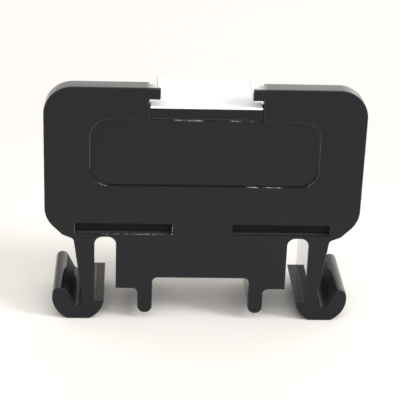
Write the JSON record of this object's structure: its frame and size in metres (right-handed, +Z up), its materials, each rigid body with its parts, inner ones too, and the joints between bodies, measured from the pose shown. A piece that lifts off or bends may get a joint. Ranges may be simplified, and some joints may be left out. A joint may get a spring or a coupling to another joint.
{
  "type": "terminal block",
  "caption": "Open-sided feed-through terminal block: black moulding with barrier wall, hook legs for a mounting channel, screw clamps on a common bar and a slide-in marker strip.",
  "frame": {"origin": "centre of the block's box, on the plane of the foot soles", "axes": "+Z up, X along the wires, the closed barrier wall faces -Y and the open terminal side +Y"},
  "size_m": [0.0382, 0.011, 0.0304],
  "materials": {
    "housing_plastic": "black moulded thermoplastic, satin to gloss",
    "bar_metal": "tin-plated copper alloy",
    "collar_metal": "zinc-plated steel, folded",
    "plate_metal": "zinc-plated steel, stamped",
    "screw_metal": "zinc-plated steel, rolled thread",
    "marker_card": "white write-on marker card"
  },
  "bodies": {
    "block": {"housing": "housing_plastic", "current_bar": "bar_metal", "left_clamp_collar": "collar_metal", "right_clamp_collar": "collar_metal"},
    "left_plate": {"left_pressure_plate": "plate_metal"},
    "left_screw": {"left_clamp_screw": "screw_metal"},
    "right_plate": {"right_pressure_plate": "plate_metal"},
    "right_screw": {"right_clamp_screw": "screw_metal"},
    "marker": {"marker_strip": "marker_card"}
  },
  "joints": [
    {"name": "left_plate_travel", "type": "slide", "parent": "block", "child": "left_plate", "axis": [0, 0, -1], "range_m": [0, 0.0031]},
    {"name": "left_screw_turn", "type": "hinge", "parent": "left_plate", "child": "left_screw", "pos_m": [-0.0093, 0.00045, 0.0225], "axis": [0, 0, -1], "range_deg": [0, 1860]},
    {"name": "right_plate_travel", "type": "slide", "parent": "block", "child": "right_plate", "axis": [0, 0, -1], "range_m": [0, 0.0031]},
    {"name": "right_screw_turn", "type": "hinge", "parent": "right_plate", "child": "right_screw", "pos_m": [0.0093, 0.00045, 0.0225], "axis": [0, 0, -1], "range_deg": [0, 1860]},
    {"name": "marker_slide", "type": "slide", "parent": "block", "child": "marker", "axis": [0, -1, 0], "range_m": [0, 0.009]}
  ],
  "couplings": [
    {"joint": "left_screw_turn", "follows": "left_plate_travel", "rad_per_m": 10472},
    {"joint": "right_screw_turn", "follows": "right_plate_travel", "rad_per_m": 10472}
  ]
}
